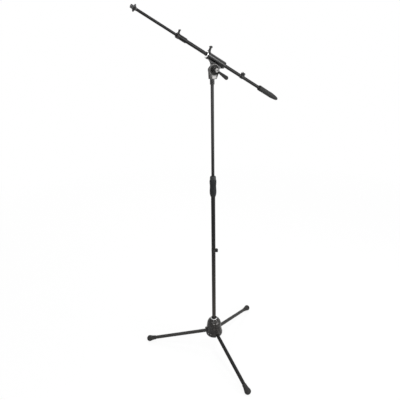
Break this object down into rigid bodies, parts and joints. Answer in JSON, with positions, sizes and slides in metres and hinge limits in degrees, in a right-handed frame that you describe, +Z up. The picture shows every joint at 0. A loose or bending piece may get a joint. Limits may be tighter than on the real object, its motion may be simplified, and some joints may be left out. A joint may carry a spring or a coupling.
{
  "type": "boom microphone stand",
  "caption": "Boom microphone stand: folding tripod legs on a bell hub, telescopic mast with twist clutch, tilt clamp and a telescopic boom with counterweight and threaded tip.",
  "frame": {"origin": "on the floor, under the centre of the whole stand's box", "axes": "+Z up the mast; the boom lies in the XZ plane with its microphone end towards -X and its counterweight towards +X; the tilt bolt runs along Y with its handle on the -Y side"},
  "size_m": [0.8012, 0.6855, 1.8746],
  "materials": {
    "hub_black": "satin black paint on a casting",
    "tube_black": "semi-gloss black powder coat",
    "knuckle_black": "satin black",
    "chrome": "bright chrome",
    "steel": "bright zinc plate",
    "cast_silver": "satin silver die casting",
    "cast_black": "black paint on a light alloy die casting",
    "rubber_grey": "matt moulded rubber",
    "grip_black": "blue-black fluted soft plastic",
    "cap_grey": "satin grey",
    "plastic_black": "fine moulded texture",
    "nylon": "turned nylon",
    "fibre": "pressed fibre"
  },
  "bodies": {
    "base": {"hub_casting": "hub_black", "hub_chrome_ring": "chrome", "mast_cuff": "plastic_black", "leg_hinge_pins": "steel", "mast_screw": "steel", "mast_screw_washer": "steel", "mast_foot_plug": "steel", "lower_mast_tube": "tube_black", "clutch_sleeve": "knuckle_black", "clutch_collet": "nylon"},
    "leg_1": {"leg_knuckle_1": "knuckle_black", "leg_tube_1": "tube_black", "foot_cap_1": "rubber_grey"},
    "leg_2": {"leg_knuckle_2": "knuckle_black", "leg_tube_2": "tube_black", "foot_cap_2": "rubber_grey"},
    "leg_3": {"leg_knuckle_3": "knuckle_black", "leg_tube_3": "tube_black", "foot_cap_3": "rubber_grey"},
    "clutch": {"clutch_grip": "grip_black", "clutch_cap": "cap_grey"},
    "mast_clip": {"mast_cable_clip": "plastic_black"},
    "upper_mast": {"upper_mast_tube": "tube_black", "upper_mast_guide": "nylon", "mast_top_stud": "steel"},
    "lock_nut": {"fluted_lock_nut": "cast_silver"},
    "bracket": {"tilt_bracket": "cast_silver", "tilt_bolt": "steel", "friction_discs": "fibre"},
    "handle": {"tilt_handle_hub": "cast_silver", "tilt_handle_lever": "plastic_black"},
    "holder": {"boom_holder": "cast_black", "boom_holder_liner": "nylon", "boom_holder_ring": "chrome", "holder_pinch_screw": "steel"},
    "boom_screw": {"boom_lock_screw_shank": "steel", "boom_lock_screw_head": "plastic_black"},
    "boom": {"boom_tube": "tube_black", "boom_clamp": "cast_black", "boom_clamp_bush": "nylon", "counterweight_cover": "rubber_grey", "counterweight_slug": "steel"},
    "boom_clip": {"boom_cable_clip": "plastic_black"},
    "rod_screw": {"rod_lock_screw_shank": "steel", "rod_lock_screw_head": "plastic_black"},
    "rod": {"boom_rod": "tube_black", "boom_rod_guide": "nylon", "mic_thread": "steel"},
    "mic_nut": {"mic_lock_nut": "steel"}
  },
  "joints": [
    {"name": "leg_1_fold", "type": "hinge", "parent": "base", "child": "leg_1", "pos_m": [0.01301, 0.08503, 0.1086], "axis": [-0.3665, 0.9304, 0], "range_deg": [0, 76]},
    {"name": "leg_2_fold", "type": "hinge", "parent": "base", "child": "leg_2", "pos_m": [-0.03856, 0.09274, 0.1086], "axis": [-0.6225, -0.7826, 0], "range_deg": [0, 76]},
    {"name": "leg_3_fold", "type": "hinge", "parent": "base", "child": "leg_3", "pos_m": [-0.01945, 0.04423, 0.1086], "axis": [0.989, -0.1478, 0], "range_deg": [0, 76]},
    {"name": "clutch_twist", "type": "hinge", "parent": "base", "child": "clutch", "pos_m": [-0.015, 0.074, 1.04099], "axis": [0, 0, 1], "range_deg": [0, 120]},
    {"name": "mast_clip_slide", "type": "slide", "parent": "base", "child": "mast_clip", "axis": [0, 0, 1], "range_m": [-0.44, 0.3]},
    {"name": "mast_height", "type": "slide", "parent": "base", "child": "upper_mast", "axis": [0, 0, 1], "range_m": [-0.45, 0.12]},
    {"name": "lock_nut_turn", "type": "hinge", "parent": "upper_mast", "child": "lock_nut", "pos_m": [-0.015, 0.074, 1.54399], "axis": [0, 0, 1], "continuous": true},
    {"name": "boom_swivel", "type": "hinge", "parent": "upper_mast", "child": "bracket", "pos_m": [-0.015, 0.074, 1.60999], "axis": [0, 0, 1], "continuous": true},
    {"name": "tilt_handle_turn", "type": "hinge", "parent": "bracket", "child": "handle", "pos_m": [-0.0125, 0.074, 1.60999], "axis": [0, 1, 0], "range_deg": [0, 150]},
    {"name": "boom_tilt", "type": "hinge", "parent": "bracket", "child": "holder", "pos_m": [-0.0125, 0.074, 1.60999], "axis": [0, 1, 0], "range_deg": [-103, 57]},
    {"name": "boom_screw_turn", "type": "hinge", "parent": "holder", "child": "boom_screw", "pos_m": [-0.03828, 0.074, 1.67636], "axis": [0.471, 0, 0.8821], "range_deg": [0, 180]},
    {"name": "boom_slide", "type": "slide", "parent": "holder", "child": "boom", "axis": [-0.8821, 0, 0.471], "range_m": [-0.1, 0.085]},
    {"name": "boom_clip_slide", "type": "slide", "parent": "boom", "child": "boom_clip", "axis": [-0.8821, 0, 0.471], "range_m": [-0.1, 0.015]},
    {"name": "rod_screw_turn", "type": "hinge", "parent": "boom", "child": "rod_screw", "pos_m": [-0.19177, 0.074, 1.75831], "axis": [0.471, 0, 0.8821], "range_deg": [0, 180]},
    {"name": "rod_slide", "type": "slide", "parent": "boom", "child": "rod", "axis": [-0.8821, 0, 0.471], "range_m": [-0.2, 0.06]},
    {"name": "mic_nut_turn", "type": "hinge", "parent": "rod", "child": "mic_nut", "pos_m": [-0.38019, 0.074, 1.85892], "axis": [-0.8821, 0, 0.471], "continuous": true}
  ]
}
